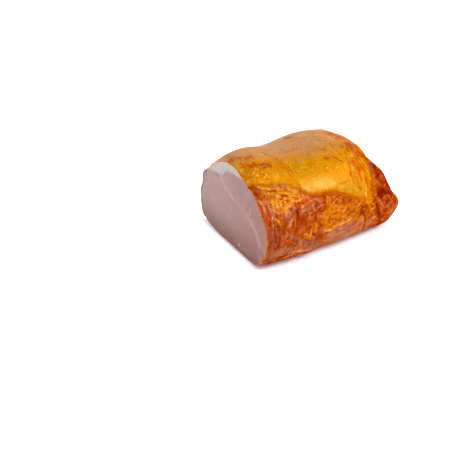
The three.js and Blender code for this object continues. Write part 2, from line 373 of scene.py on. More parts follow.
marks = {
    "patches": [  # hue, how much of it, shift of the tone, softness in mm, outline
        ("pinkish", 0, 0.1, 6, [(56, 80), (84, 84), (112, 92), (118, 124), (60, 126)]),
        ("golden", 0.55, 0, 4, [
            (60, 64), (72, 60), (90, 68), (112, 76), (121, 84), (118, 100), (88, 93), (62, 98), (57, 80),
        ]),
        # low on the near side: partly the skin's own mauve, partly a painted sheen
        ("mauve", 0.8, 0.1, 3, [
            (14, 98), (34, 102), (60, 112), (60, 122), (52, 117), (44, 114), (35, 111), (27, 108.5),
            (20, 110), (4, 112), (4, 104),
        ]),
        ("mauve", 0.4, 0.08, 5, [(60, 96), (92, 92), (118, 100), (126, 130), (60, 130)]),
        ("golden", 0.6, -0.1, 2.5, [(110, 6), (122, 14), (127, 40), (125, 54), (114, 56), (106, 40)]),
        ("golden", 0.8, -0.06, 2.5, [
            (112, 38), (124, 42), (127, 50), (126, 62), (122, 69), (119, 78), (114, 85), (110, 60),
        ]),
        # no hue, only darker: painted shade in the dip along the knob's crease
        ("pinkish", 0, -0.32, 1.8, [
            (121.5, 70), (126.7, 69.5), (131.8, 72.5), (137, 77), (142, 82), (136, 80.5), (130.8, 79),
            (126, 80), (122.5, 77),
        ]),
        ("mauve", 0.5, -0.02, 3, [(0, 70), (14, 72), (16, 100), (0, 100)]),
        # low on the near side by the cut: partly the skin's own mauve, partly a painted sheen
        ("mauve", 0.95, -0.04, 3, [(0, 98), (14, 100), (20, 108), (12, 113), (0, 124)]),
        ("pinkish", 0.7, -0.02, 3, [(10, 54), (36, 54), (34, 60), (26, 62), (22, 68), (10, 68)]),
        ("golden", 0.85, 0.02, 1.2, [
            (3.8, 28.2), (12.9, 29.5), (24.2, 33.4), (36.2, 40.5), (43.4, 46.3), (40.1, 57.4), (34.9, 56.8),
            (29.3, 57.1), (25.4, 58.9), (22.9, 63.9), (19.2, 62.8), (16.3, 62.9), (11.8, 58.5),
            (11.8, 50.6), (10.3, 42.9), (9.6, 36.1), (6.1, 31.4),
        ]),
        ("golden", 0.95, -0.14, 2.5, [
            (64.1, 58.7), (71.6, 60.9), (67.4, 67.4), (73.6, 69.3), (82.4, 72), (88, 72.7), (90.9, 75.7),
            (84, 77.7), (81.6, 82.2), (76.2, 82.7), (73.1, 85.1), (68.2, 89.5), (64.6, 94.4), (60.4, 93.2),
            (56.9, 83.7), (57.4, 75.8), (60.7, 69.4),
        ]),
        ("golden", 0.9, -0.06, 1.4, [(46.5, 81.4), (53.9, 82.8), (54.4, 92.7), (50.3, 94.9), (46.9, 91.2)]),
        ("golden", 0.9, -0.08, 1, [(38.9, 90), (48.2, 95.3), (47.2, 99.6), (41.6, 98.5)]),
        ("golden", 0.5, -0.08, 3, [
            (95.5, 76), (104.7, 81.2), (112.3, 77.7), (121.3, 82.8), (122.2, 103.7), (113.6, 99.6),
            (109.5, 105.4), (100.8, 88.5), (96.2, 80.4),
        ]),
        ("mauve", 0.8, 0.05, 3, [
            (70.2, 98.7), (77, 94.6), (85.1, 92.2), (90.5, 92.8), (95.1, 109.9), (88.8, 116.3),
            (82.2, 119.5), (72.6, 118.6), (64.5, 108.6), (65.5, 102.3),
        ]),
        ("mauve", 0.75, 0.06, 3, [
            (15.4, 84.3), (25.7, 90.5), (35.2, 101.9), (58.6, 117.5), (59.9, 111.3), (51.5, 98.9),
            (43.9, 99.5), (34.6, 94.2), (25.6, 83.5),
        ]),
        ("pinkish", 0.4, -0.12, 1.5, [
            (68.7, 60.1), (74.6, 61.8), (83.5, 66.4), (95, 71.8), (92.2, 75), (83.6, 71.4), (74.7, 69.6),
            (69.6, 67.1),
        ]),
        ("pinkish", 0, -0.06, 2.5, [
            (31.5, 67.6), (46.1, 69.2), (51.6, 73), (51.7, 80.9), (45.4, 81), (41, 82.7), (34.2, 82.3),
            (29.8, 83.9), (28.4, 73.7),
        ]),
        ("pinkish", 0, -0.1, 3, [
            (2.3, 74.5), (9.3, 73.7), (13.7, 78.3), (14.3, 86.2), (11.9, 99.8), (3.7, 99), (1.2, 89.4),
        ]),
        ("golden", 0.8, 0, 1.4, [(9.5, 64), (16, 64), (17, 70), (13, 73), (9.5, 71)]),
        ("golden", 0.95, 0, 1, [
            (60.4, 92), (64.7, 95), (67.8, 94.7), (70.6, 92), (74.7, 90.8), (81.8, 89.4), (87, 88.4),
            (87, 91.4), (81.8, 92.2), (77.9, 94.5), (74.7, 93.6), (70.6, 94.8), (67.8, 97.4), (64.7, 97.8),
            (60.4, 95),
        ]),
        ("mauve", 0.6, 0.14, 2, [
            (24.8, 60.6), (30.9, 61.5), (31.7, 66.7), (27.3, 73.4), (24.7, 79.8), (22.4, 71.7),
        ]),
        ("mauve", 0.42, 0.1, 2, [
            (36.7, 64.3), (42.9, 61.3), (51.1, 58.8), (57.9, 61.8), (58.5, 65.9), (52.1, 69), (43.9, 69.6),
            (37.8, 68.7),
        ]),
        ("pinkish", 0, -0.2, 2.5, [
            (132.4, 39.7), (139.2, 45.2), (143.4, 61), (142.7, 73.7), (142.2, 80.3), (134.4, 75),
            (125.7, 69.1), (126.4, 58.2), (126.4, 48.6),
        ]),
        ("golden", 0.45, -0.12, 2.5, [
            (120.6, 50.4), (127.7, 56.3), (126, 64.9), (123.1, 72.6), (118.8, 81.9), (114.9, 78.6),
            (115.5, 65.8),
        ]),
        ("pinkish", 0.3, -0.2, 2.5, [
            (124.7, 77.5), (133.5, 78.7), (142.3, 84.8), (151.7, 96.5), (146.3, 100.9), (135.6, 95.8),
            (129, 91),
        ]),
        ("pinkish", 0.85, 0.04, 2, [
            (1.9, 44.2), (9, 45.6), (11.3, 54.4), (10.9, 65.1), (6.7, 66.8), (2.7, 63.6), (1.4, 55.2),
        ]),
    ],
    "crumple": [  # outline of the crumpled skin
        (4, 28), (13, 29.5), (24, 33.4), (36, 40), (43, 46), (40, 57), (29, 58), (23, 64), (16, 70),
        (10, 66), (10, 43),
    ],
    "ridges": [  # raised lines
        [(7, 30.6), (12.2, 33.4), (18, 36.7), (25.2, 36.3), (31.1, 36.7), (36.3, 39.9), (41.4, 46.2)],
        [(11.6, 36.1), (13.3, 39.5), (17.8, 42.1), (20.6, 45.1), (18.4, 47.7)],
        [(28.8, 44.3), (33.2, 46.4), (35.4, 48.9), (36, 51.6), (33.3, 53.4), (37.9, 55.5), (41.7, 54.9)],
        [(19.8, 50), (20.1, 53.3), (19.6, 56.6), (21.8, 60.4), (21.9, 62.9)],
        [(22.6, 58.2), (28, 57.5), (32.5, 57.1), (35.5, 56.5)],
        [(12.8, 45.9), (12.2, 50), (12.5, 54.3), (10.9, 57), (13.8, 59.7), (15.6, 61.7)],
        [(11.6, 65.3), (14, 68.6)], [(23.2, 43), (26.1, 43.4), (28.2, 43.5)], [(17.3, 40.6), (17, 43.1)],
        [(33, 41.5), (35.5, 43), (39, 44.5)], [(24, 50), (27, 51), (30, 50.5)],
        [(10.8, 65.6), (13.4, 66.9), (13.8, 69.5)], [(3.5, 23.8), (6.7, 25.4), (10.8, 27.1), (13.1, 28.6)],
        [(28.8, 114), (30.5, 110.5), (32, 109.1), (38.1, 113), (43.7, 114.6)],
        [(18.8, 116.3), (23, 116.6), (26.1, 116.5), (28.8, 114)],
        [(10.7, 116.5), (14.6, 116), (17.7, 115.8)],
        [(46.6, 82.6), (50.9, 83.6), (53.1, 86.2), (53.3, 91.1), (50.3, 93.7)],
        [(48.1, 92.9), (47, 94.2), (49.3, 98.1), (50.5, 100.3)], [(40.1, 91.8), (43.6, 93.4), (47.1, 96.7)],
        [(45.9, 70.2), (48.8, 70.6), (52.2, 68.5)], [(54.3, 67.6), (56.5, 66.3), (58.7, 65)],
        [(65.9, 59.3), (64.5, 62.8), (63.9, 66.4)], [(68, 61.8), (67.1, 66.4), (65.7, 70.9)],
        [(60.9, 73.6), (62.4, 78.4), (63.6, 81)], [(61.6, 80.4), (62, 86.4)], [(65, 72.7), (66.5, 75.3)],
        [(53.6, 73.6), (54, 77)], [(56.4, 75.5), (56.6, 78.9)], [(58.9, 74), (59.5, 78.6)],
        [(70.9, 66.5), (69.4, 68)],
        [
            (60.4, 93.2), (64.7, 96.3), (67.8, 96), (70.6, 93.3), (74.7, 92.1), (77.9, 93.1), (81.8, 90.7),
            (87, 89.9),
        ],
        [(65.2, 89.8), (67.1, 87.4), (70.1, 86.5)], [(77.4, 77.7), (80.6, 78.7), (82.6, 75.1)],
        [(79.4, 84.8), (82.6, 83.6)], [(71.3, 69.6), (75.4, 72.9), (79.8, 73.8)],
        [(68.6, 75.9), (73, 76.3), (76.3, 75.2)], [(67.7, 81.2), (71.9, 80.3), (74, 79.8)],
        [(102.3, 91.4), (103.5, 97.9), (103.8, 104.8), (103.1, 109.1)],
        [(86.2, 110.5), (92.7, 106.9), (99.9, 107.4)], [(94.9, 103.3), (102.2, 107), (106.2, 107.6)],
        [(114.7, 98.8), (117.6, 99.2), (122.1, 103)], [(116, 92.7), (117.5, 97.9)],
        [(102.1, 82.4), (103.3, 84.5)], [(112, 85.5), (113.5, 88.4)], [(115.3, 81), (116.6, 83.5)],
        [(121.7, 70), (120.7, 73.9)], [(112.3, 77.7), (114.7, 83.1)],
        [(83.4, 117.1), (88.9, 114.1), (93.5, 109)], [(33.8, 96.4), (34.6, 96.4)],
        [(20.2, 91.5), (21, 91.5)], [(25.5, 104.4), (26.4, 104.4)], [(29.8, 99), (30.6, 99)],
        [(133.2, 60.4), (134, 60.4)], [(134.8, 66.8), (135.6, 66.8)], [(62, 96), (67, 96)],
        [(112, 113), (116, 103), (119, 101)],
    ],
    "gaps": [  # sunken lines
        [(0.2, 23.6), (0.4, 26.5), (1.5, 28.9), (1.9, 32)],
        [
            (11.1, 29.2), (12.9, 31.7), (16.2, 32.9), (18.5, 34.3), (20.7, 35.9), (23.5, 36.6),
            (26.7, 36.4), (29.7, 36.8),
        ],
        [(12.1, 36), (13.8, 37.7), (17, 39.1), (20.7, 39.8), (24.1, 41.2), (27.1, 41.6), (30.1, 41.9)],
        [(6, 31.6), (8.1, 33.3), (9, 35.4)], [(2.1, 34.4), (1.7, 38.2)],
        [(3.2, 37.1), (3.6, 40.5), (5, 43.7)], [(11.3, 41.7), (11.5, 44.4), (12.8, 45.9)],
        [(30.6, 41), (32.9, 42.8), (34.2, 44.3)], [(23.3, 45.7), (26, 45.5), (27.7, 47.6)],
        [(22.3, 49), (24.7, 50.5), (27.1, 52), (29.7, 52.3)], [(22.8, 54.7), (25.8, 55.1)],
        [(19.2, 59.4), (20.7, 60.8), (20.3, 63.1)], [(15.5, 68.5), (15.6, 70.6)],
        [(26.7, 31.5), (27.3, 32.7)], [(17.3, 27.9), (19, 28.6)], [(5.5, 28.2), (8.5, 27.9)],
        [(6.2, 47.7), (6.5, 51.9), (7.2, 55.1), (7.8, 59.2), (7.4, 64)],
        [(2.6, 49.6), (2.9, 53.7), (3.4, 57.8), (3.8, 62.9)], [(6.6, 56.9), (6.3, 60.8)],
        [(25.7, 34.4), (26, 35.7)], [(33.7, 57), (37.8, 57.7), (41.7, 58.9)], [(4.2, 75.1), (3.6, 80.2)],
        [(8.1, 75.3), (8.4, 81.9), (9.3, 89)], [(12.1, 68.5), (11.9, 72.5), (12.8, 76.9)],
        [(11.3, 84), (13.3, 86.4), (12.4, 91.3), (10.6, 96.7), (8.7, 98.5)], [(16.8, 77.2), (16.5, 81.4)],
        [(21.7, 78.8), (22.5, 83.5), (21.5, 88.9)], [(20.8, 94.6), (22.4, 101.6)],
        [(29.8, 83.9), (32, 82.5)], [(5.6, 114.2), (4.6, 116.8)], [(54.3, 60.8), (54.3, 63.7)],
        [(52.8, 62.3), (52.6, 66.2), (52.3, 68.1)],
        [(60.3, 63.5), (61.5, 65.8), (60.7, 69.4), (59.5, 72.1), (56.6, 71.3), (53.7, 70.5)],
        [(51.8, 70.9), (51.5, 75.1), (50.6, 79.3)], [(33.7, 63.4), (33.7, 67.3)],
        [(63.7, 59.6), (61.7, 64.8)], [(69.7, 60.4), (68.8, 64), (68.4, 67.7)],
        [(63.7, 82.2), (64.9, 86.1)], [(65.6, 80.5), (66.3, 83)], [(49.3, 95.7), (51.5, 97.7)],
        [(40.5, 99.2), (45.2, 102.5)], [(53.7, 87.6), (53.8, 90)], [(57, 86.2), (57.7, 88.8)],
        [(81.1, 66.6), (81.5, 70.7)], [(87.2, 70.5), (91.1, 68.1)], [(75.3, 66.9), (74.7, 69.6)],
        [(62.9, 98.9), (63.8, 97.3)], [(94.4, 119.3), (97.7, 119.4)],
        [(87.1, 65.9), (90.9, 69), (96.2, 71.7), (99.9, 73.1)], [(132.8, 86.5), (134, 90.5)],
        [(148, 88.9), (152.3, 95.8), (146.9, 95)], [(124.6, 78.5), (127.5, 83.2), (128.3, 87.1)],
        [(117, 48), (115, 53), (113, 57.7), (111.5, 62.7), (111, 66.4)], [(123.4, 51.6), (121.5, 54.6)],
        [(132.1, 44.2), (131.7, 51.1), (130.7, 57.1)], [(128.4, 52.8), (129.2, 59.1), (131.1, 64.3)],
        [(118.3, 69.9), (116.3, 74.6)], [(117.9, 78.3), (121.3, 82.8)], [(106.5, 78.8), (108.8, 82.8)],
    ],
    "paleLines": [
        [(3.3, 47.8), (3.6, 51.9), (3.6, 55.9), (3, 60.7)],
        [(8.7, 47.5), (9.4, 51.8), (8.9, 55.7), (8.3, 60.4), (8.4, 65.4)], [(5.7, 45.5), (6.7, 48.9)],
        [(8.2, 52.4), (8.2, 56.4)], [(2.3, 43.3), (2.8, 46.6)], [(10.3, 60), (9.4, 63.7)],
        [(38.2, 62.8), (44.2, 60.7), (48.9, 59.1), (53.3, 58.4), (56.4, 60.4), (58.5, 63)],
        [(39.4, 66.2), (43.8, 65.5), (48, 64.8), (51.6, 62.9)], [(23.9, 76.4), (25.3, 72.7), (27.7, 70.4)],
        [(27.2, 97.2), (30.7, 99.9)], [(129.4, 79.5), (130.4, 84.4)],
        [(134.9, 79.2), (138.4, 83.9), (139.6, 86.8)], [(136.5, 90.1), (139.1, 92.3)],
        [(136.9, 104), (140.6, 101.9)], [(138.6, 119), (143.3, 112.9)],
        [(68.6, 107.5), (76.7, 104.9), (84.5, 102)], [(7.4, 68), (7.1, 72)],
        [(102.3, 91.4), (103.5, 97.9), (103.8, 104.8), (103.1, 109.1)],
        [(24, 110.3), (26.7, 109), (35.3, 111.3), (43.6, 113.8), (50, 115)], [(20, 113), (24, 110.3)],
        [(103.4, 106.9), (106.7, 102), (113.7, 100), (120.7, 99.8)], [(137.2, 83), (140.1, 89.9)],
        [(126.3, 86.3), (129.7, 91.2)],
    ],
    "creases": [
        [(101.6, 80.1), (101.4, 84.3), (103.4, 89.5), (105.2, 96.1), (105.8, 102.9), (106.5, 111.3)],
        [(120, 84.6), (120.8, 90.6), (122.9, 97.5), (126, 105.9), (131, 117.6), (130.1, 123.3)],
        [(123.5, 77), (123.5, 73.8), (126, 72.5), (131.5, 75.1), (137.1, 77.9), (142.4, 82.1)],
    ],
    "cleft": [
        [
            (0.3, 116.4), (0.9, 113.1), (3, 109), (9.1, 108.9), (17.2, 113.3), (22.4, 113.4), (23.6, 108.9),
            (25.2, 106.1),
        ],
    ],
    # painted glints of wet shine: small pale spots on the lean, each on a slight bump
    "paintedGlint": [  # place and the two reaches
        (16.4, 54.6, 1.8, 2.4), (25.9, 49.1, 2.0, 1.4), (20, 45.2, 1.6, 1.4), (30.7, 34.2, 2.0, 1.1),
        (8, 21.6, 1.3, 1.2), (0.8, 17.4, 1.2, 1.3), (15, 28.7, 1, 1.5), (23.1, 32.4, 1, 1),
        (38, 45.4, 1.1, 1.2), (31.1, 55.2, 1.4, 1), (33.1, 61.7, 1.6, 1), (13.4, 40.3, 1, 0.9),
        (19.9, 37.4, 1.5, 0.8), (25.9, 37.9, 1.2, 0.8), (7.4, 70, 0.9, 1.8), (10.1, 74.5, 1, 1.2),
        (9.6, 79.5, 1, 1.2), (11.4, 82.4, 0.9, 0.8), (12.9, 69.2, 1, 1.2), (17, 65.5, 1, 1),
        (36, 80, 1.2, 1.1), (40.2, 73.6, 0.9, 0.8), (34.5, 64.1, 1, 0.8), (10.5, 42.4, 0.8, 0.8),
        (123, 104, 1, 1), (126.4, 90.7, 1.3, 1.6), (135, 73.6, 1, 0.8), (102, 83.5, 1, 0.8),
        (72, 62.5, 1.2, 1.4), (79, 64.5, 1.6, 1.4), (68.6, 68.8, 1.4, 1.2), (27, 40, 1.4, 1),
        (24.5, 53, 1.3, 1.1), (33, 49, 1.2, 1),
    ],
    "fatSpots": [
        (0.2, 16.1), (6.2, 16.8), (10.5, 17.9), (11.8, 21), (12.8, 22.8), (17.4, 19.9), (19.9, 22.7),
        (17.9, 25.5), (2.2, 22.4), (41.6, 16.3), (45.1, 16.7), (41.3, 28.5), (59, 21.8), (71.7, 18.9),
        (95, 23.1), (90.8, 24.2), (53.5, 27.2), (61.7, 32.5), (49.3, 29), (45, 27.5), (45.8, 24.4),
        (75.2, 35.4), (84.4, 37.4), (58.2, 27.9), (67.7, 30.6), (105.7, 30.9), (115, 29.6), (46, 20.9),
        (98.4, 29.4),
    ],
    "fatDots": [
        (0.2, 13.6), (1.2, 15.3), (2.2, 20.5), (5.6, 19.7), (9.7, 23.2), (17.1, 22.3), (22.1, 22.4),
        (1.5, -7.1), (2.8, -4.5), (8.7, -7.2), (10.2, -3.3), (19.3, 1.5), (9.1, 9), (10.6, 12.9),
        (14.7, 9.6), (16.6, 16.9), (67.2, 17.2), (55.8, 30.3), (94.1, 27.8), (89.7, 35.6), (89.5, 37.9),
        (90, 40.9), (79.3, 26.8), (53.7, 18.8), (71.9, -1.7), (60.9, 2.8), (52.4, -1.9), (86.1, 1.2),
        (108.5, 17.1), (114.3, 16.6), (56.5, 13.2), (19.3, 27.8),
    ],
    "fatStreaks": [
        [(16.2, 6), (15.8, 12.6), (15.9, 17.2)], [(39.2, 7.5), (38.6, 16), (37.4, 22.8)],
        [(41.8, 12.9), (40.3, 21.5), (40.8, 29.4)], [(43.6, 21.3), (43.6, 28.2)],
        [(102, 24.7), (99.2, 31.6), (96.7, 37), (95.5, 43.3), (94, 47.5)],
        [(106.6, 22), (109.7, 26), (112.2, 29.5)], [(100.2, 19.6), (102, 24.7), (106.5, 26.7)],
        [(106.2, 16.9), (111.2, 18.4), (117.9, 17.3)], [(111.4, 21.1), (112.1, 24.8)],
        [(117.1, 25.8), (119.7, 29.5), (120.3, 34.3)], [(100.8, 38), (104.5, 37.8)],
        [(95.5, 43.3), (94.2, 48.5), (95.5, 50.7)], [(110.8, 32.8), (112.1, 38.2), (112.7, 43.3)],
        [(103.7, 33.6), (105.6, 40), (105.9, 45.8)], [(77, 52.9), (83.4, 52), (89.6, 52.3), (91.4, 53.3)],
        [(65.3, 54.3), (73.4, 54.7), (78.6, 54.3)], [(109.1, 44.6), (109.9, 50.5), (108.9, 56)],
        [(97.5, 48.5), (99.2, 56.3), (100.9, 63.4)], [(99.5, 65), (103.4, 70)],
        [(84.7, 58.9), (83.9, 61.5)], [(62.8, 52.6), (64.1, 54.9)],
        [(40.7, 35.5), (43.9, 39.6), (44.6, 42.8)],
        [(99.8, -5.4), (101.2, 2.3), (102.4, 8.9), (105.1, 13.9)],
        [(102.6, -0.6), (107.8, 4.2), (112, 9.1), (116.9, 10.9)], [(92.4, 15.1), (92.7, 18.9)],
        [(79.2, 15.1), (84.3, 19.7)], [(5.7, 3.5), (6.7, 11.2)], [(32.4, -2.3), (35.8, 4.8), (38.3, 11.8)],
        [(52.3, 4.3), (59.1, 5.1), (64.9, 6)],
    ],
    "brightStreaks": [
        [(113.2, 35.1), (114, 39.5), (114.8, 42.6)], [(99.3, 40.5), (100.8, 46.5), (100.7, 52)],
        [(104.6, 35.9), (105.6, 42)], [(105.7, 27.7), (107.2, 32.3)],
        [(114.5, 47.6), (115.2, 50.6), (113.1, 53.1)], [(118.3, 50.2), (116.3, 53.8), (115.2, 56.5)],
        [(105.7, 51.4), (106.6, 59.2), (106.5, 65)], [(102.5, 27.1), (99.4, 34.7)],
        [(99.1, 4.7), (99, 11.4)], [(106, 67.8), (108, 73.5), (106.6, 77.3)],
        [(61.6, 95.7), (70, 97.4), (74.2, 92.5), (82.6, 90.9), (86.9, 88.4)],
        [(25, 110), (26.7, 109), (35.3, 111.3), (43.6, 113.8)],
    ],
    "scratch": [[(85.9, 26.4), (88.7, 30.4), (92.5, 34.7)]],
    "blemishRed": [(22.5, 12.6, 5, 2.2), (26.5, 14.2, 4.2, 2.4), (28, 16.4, 3, 2), (22.3, 16.4, 3.4, 1.9)],
    "blemishPink": [(24, 14.6, 2.6, 1.3)],
    # where the painted sheen, a pale reflection on the far top of the fat, ends
    "paintedSheenEdge": [  # mm along, degrees round
        (0.2, -10), (1.6, -1), (9.5, 2.3), (21.1, 3.3), (34.8, 6.2), (47.8, 10.6), (59.9, 15.8),
        (72.8, 19.5), (86.7, 19.4), (100.9, 16), (111.2, 14.2),
    ],
    "paintedSheenEnd": [(-80, 81), (120, 131)],  # degrees round, mm along
    # painted highlights on the fat: the small bright places
    "paintedGlow": [
        [
            (57.3, 41.1), (65.1, 41.7), (69.7, 45.1), (75.4, 45.9), (76, 49.8), (72, 52.4), (63.3, 51.3),
            (57.7, 50), (55.1, 46.3),
        ],
        [(45.5, 43.1), (52.4, 45.4), (52.9, 49.5), (48.9, 50.1), (46, 47.2)],
    ],
    # a wider painted highlight round them
    "paintedGlowWide": [
        (44.3, 38.8), (59, 37.7), (75, 42), (87.1, 50.2), (96.4, 58.4), (101.7, 65.6), (89.1, 63),
        (79.8, 57.5), (65, 55.2), (52.7, 53.3), (46.5, 48.4),
    ],
    "stains": [
        (108, 2, 6, 5), (112, 7, 6, 4), (117, 10, 4, 4), (111, 21, 6, 4), (119, 19, 5, 5),
        (70, -16, 4, 2.5), (4, -8, 5, 4), (10, -4, 5, 3), (79, 27, 3, 2), (122, 38, 4, 8), (12, 11, 5, 3),
        (16, 0, 5, 3), (116, 30, 5, 5), (104, 44, 3, 6),
    ],
    "purple": [(112, 17, 3.5, 2.5), (102, 20, 2, 2), (69, -18, 2.5, 1.5)],
    # painted shade of a hollow in the crumpled skin
    "hollows": [(25.7, 46.7, 1.8, 1.4)],
    "wrinkleEdge": [  # degrees round, mm along
        (10, 106), (23, 101), (31, 98), (44, 95), (50, 92), (70, 86),
    ],
}

cutMarks = {
    "streaks": [
        [(21.8, 60.7), (18.3, 59.3), (14.1, 56.7), (9.1, 55.6)], [(5.9, 53.6), (1.8, 52), (-1, 50.8)],
        [(-5.4, 56.7), (-10.7, 55.9)], [(-17.5, 54.4), (-21.5, 52.5)], [(-26.3, 49.1), (-27, 46.2)],
        [(-15.5, 46.7), (-17, 44.5)], [(-31, 39.2), (-36.1, 39), (-39.5, 36.8)],
        [(-41.3, 29.8), (-43.1, 27.7)], [(-44.1, 25.2), (-44.2, 22.7)], [(-29, 54), (-29.7, 50.4)],
    ],
    "seamBand": [
        [(19.5, 63.9), (9.5, 56.8), (-1.8, 51.8), (-16.4, 49.2), (-29.4, 43.3), (-39.5, 36.8), (-43, 30)],
    ],
    "crust": [[(-46.5, 14.5), (-47.5, 10), (-46, 6)]],
    "mauveBand": [[(-4.3, 68.7), (-25.5, 66.2), (-36.8, 62.2)]],
    "darkLines": [
        [(29.3, 63.2), (26, 62.4), (23.1, 61.2)], [(47.2, 56.8), (46, 52.9)],
        [(-47.7, 15.4), (-47.9, 11.9)],
    ],
    "ring": (-35.3, 44.8),
    "ringRadius": 2.2,
    "ringWidth": 0.8,
    "rosy": [(-19.4, 41.6, 7, 2), (-27.7, 43.1, 5, 2), (-46, 13, 2.5, 3)],
    "glint": [(-11.4, 7.5, 0.8, 1.0)],
    # painted shade of small pits in the cut
    "pit": [(-13.8, 6.1, 0.9, 1.2), (25.6, 62.2, 1.8, 1.1), (-46.3, 12.5, 1.0, 1.8)],
    "fatUnderside": [  # mm across, positive on the far side, and mm up
        (60, 56), (50.4, 57.5), (42.3, 61), (34.7, 63), (28.3, 64.7), (21.2, 65.8), (17.5, 66.2),
        (15, 68.5), (13.5, 72.5), (10, 74.6), (4.9, 76.2), (-1.7, 77), (-8.9, 77.4), (-16.6, 77.5),
        (-60, 78),
    ],
}

swellings = [  # mm along, degrees round, the two reaches, mm of rise
    (25, -22, 16, 13, 2.2), (139, 56, 8, 12, 1.6), (125, 74, 3.5, 3, -1.2), (131, 76, 4, 2.5, -1),
    (38, 115, 13, 3.5, 1.6),
]

footSway = [  # mm along, mm that the near side stands out just above the table
    (0, 0), (28, 0), (34, 0.8), (40, 0), (48, 1.3), (56, 0.3), (64, -0.5), (74, 0.5), (84, 0.9), (92, 0.8),
    (102, 0), (110, 0.6), (120, 0),
]

lineReach = {  # mm to each side
    "ridges": 1.25, "gaps": 1.5, "paleLines": 1.5, "creases": 1.7, "cleft": 1.5, "scratch": 1.1,
    "fatStreaks": 1.9, "brightStreaks": 2.2, "streaks": 1.7, "seamBand": 5.5, "mauveBand": 14,
    "darkLines": 1.4, "crust": 1.8, "creaseShade": 4,
}

toneShifts = {
    "spot": 0.28, "dot": -0.3, "streak": -0.32, "brightStreak": 0.3, "stain": -0.5, "crease": -0.3,
    "hollow": -0.35, "lowSide": -0.07,
}

reliefHeights = {  # mm
    "lift": 0.22, "paintedGlint": 0.15, "spot": 0.08, "crease": 1.0, "rimFibre": 0.35, "lumps": 0.35,
    "pimples": 0.22, "waves": 0.2, "lip": 0.7, "scratch": 0.25, "dark": 0.3, "wrinkles": 0.5, "mottles": 0.35,
}

fields = {  # noises: size in mm, seed, octaves
    "wanderAlong": (6, 1, 2), "wanderAround": (6, 2, 2), "shiverAlong": (2.5, 3, 1),
    "shiverAround": (2.5, 4, 1), "patchy": (5, 5, 3), "wild": (18, 6, 3), "unseenTone": (15, 7, 3),
    "unseenMauve": (20, 8, 2), "uneven": (4, 9, 2), "lumps": (8, 11, 3), "waves": (16, 13, 2),
    "pimples": (2.6, 14, 2), "mottles": (3.2, 16, 2), "farEdge": (16, 18, 2), "cutAcross": (7, 21, 2),
    "cutUp": (7, 22, 2), "cutUneven": (3, 23, 2), "cutFatEdge": (3, 31, 2),
}

chartFields = {  # the same on the chart: its two sizes, seed, slant
    "fibres": ((1.3, 14), 12, 0), "wrinkles": ((2.6, 12), 15, 0.3), "streaky": ((20, 4), 17, 0),
}

maskEdges = {  # mm inside a line or an outline, from where its mask is absent to where it is full
    "crumple": (-1, 3), "paintedGlow": (-3, 3.5), "paintedGlowWide": (-4, 5), "paintedSheen": (-9, 16), "wrinkled": (-2, 3),
    "lipShade": (2.7, 1),
}

straying = {"loose": 1.2, "looseShiver": 0.6, "closeShiver": 0.5, "onCut": 0.8}  # mm, of the marks

fatEdge = {  # how its colour ends, mm
    "softness": 0.7,
    "raggedSoftness": 3,
    "wander": 2.6,
    "farWander": 5,
    "tailShare": 0.8,
}


def drawn(places, name, book=marks):
    return strokes(places, book[name], lineReach[name])


def field(pmm, name):
    return noiseField(pmm, *fields[name])


def drift(pmm, first, second):
    return np.stack([field(pmm, first), field(pmm, second)], axis=1)


def fatMask(pmm, places, close, patchy):
    farSide = zone(places, "farSide")
    ragged = zone(places, "nearCrumple") + farSide + fatEdge["tailShare"] * zone(places, "tailEnd")
    softness = fatEdge["softness"] + fatEdge["raggedSoftness"] * ragged
    wandering = fatEdge["wander"] * patchy * ragged + fatEdge["farWander"] * farSide * field(pmm, "farEdge")
    return smoothStep((insideFat(close, goldOutline) + wandering) / softness, -1, 1)


def patchMasks(pmm, places, loose, patchy):  # drawn on the near side, random where nothing is seen
    unseen = np.maximum(zone(places, "farSide"), zone(places, "underside"))
    wild = field(pmm, "wild")
    found = {
        "golden": unseen * smoothStep(wild, 0.05, 0.5),
        "pinkish": unseen * smoothStep(-wild, 0.2, 0.6),
        "mauve": 0.8 * unseen * smoothStep(field(pmm, "unseenMauve"), 0.2, 0.5),
        "tone": 0.35 * unseen * field(pmm, "unseenTone"),
    }
    for hue, amount, shift, soft, outline in marks["patches"]:
        mask = smoothStep(insideOf(loose, outline) + 0.8 * patchy, -soft, soft)
        found[hue] = np.maximum(found[hue], amount * mask)
        found["tone"] += shift * mask
    return found


